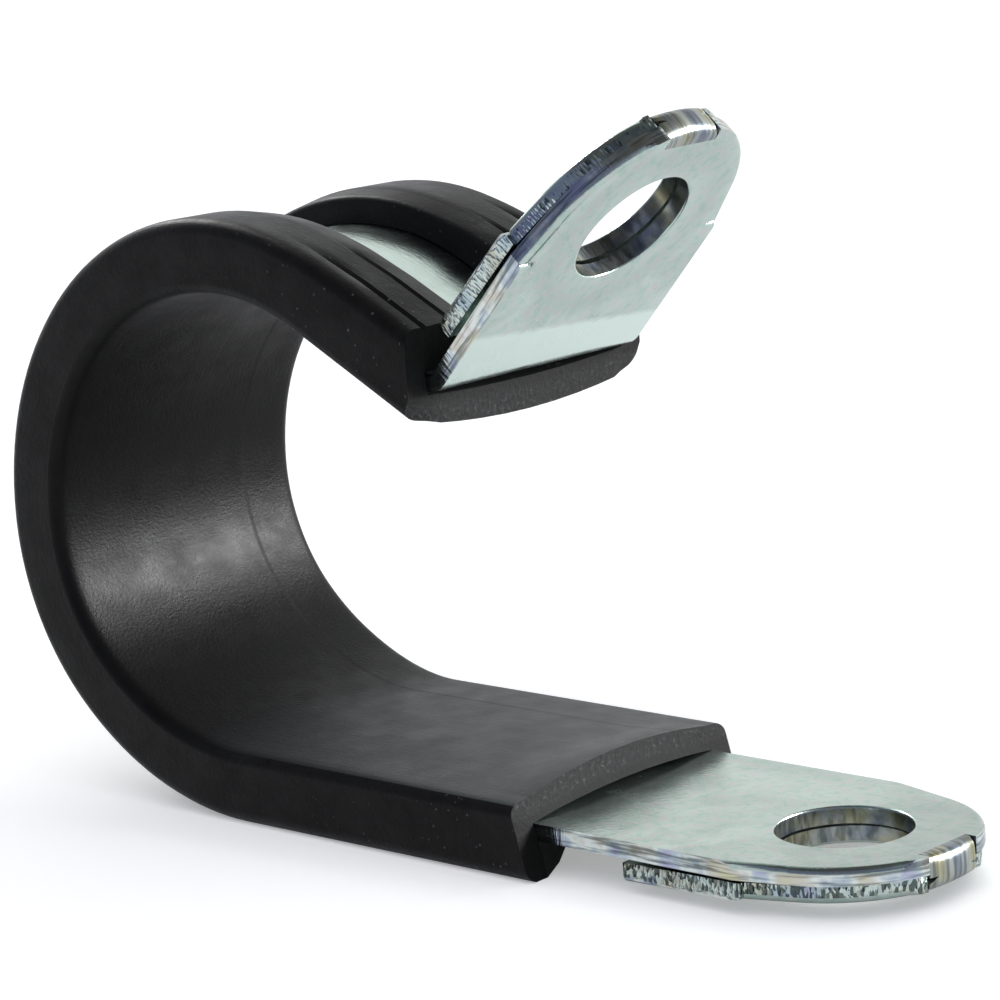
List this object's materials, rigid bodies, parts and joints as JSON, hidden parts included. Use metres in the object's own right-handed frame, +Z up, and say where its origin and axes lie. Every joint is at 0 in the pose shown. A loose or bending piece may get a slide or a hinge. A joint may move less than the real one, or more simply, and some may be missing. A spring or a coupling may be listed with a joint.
{
  "type": "p clip",
  "caption": "Rubber-lined steel P clip, sprung open: a steel strip bent into a loop with folded, bolted ears and a rubber channel that cushions the pipe or cable.",
  "frame": {"origin": "on the lower bolt hole's axis, at the underside of the lower ear", "axes": "+X along the lower ear towards its tip, +Y across the strip, along the pipe or cable that it holds, +Z up through the lower hole towards the inside of the clip"},
  "size_m": [0.0581, 0.018, 0.0386],
  "materials": {
    "zinc_plated_steel": "bright zinc-plated rolled steel sheet, with sheared edges",
    "epdm_rubber": "matt black extruded EPDM rubber"
  },
  "bodies": {
    "root": {"band": "zinc_plated_steel", "liner": "epdm_rubber"}
  },
  "joints": []
}
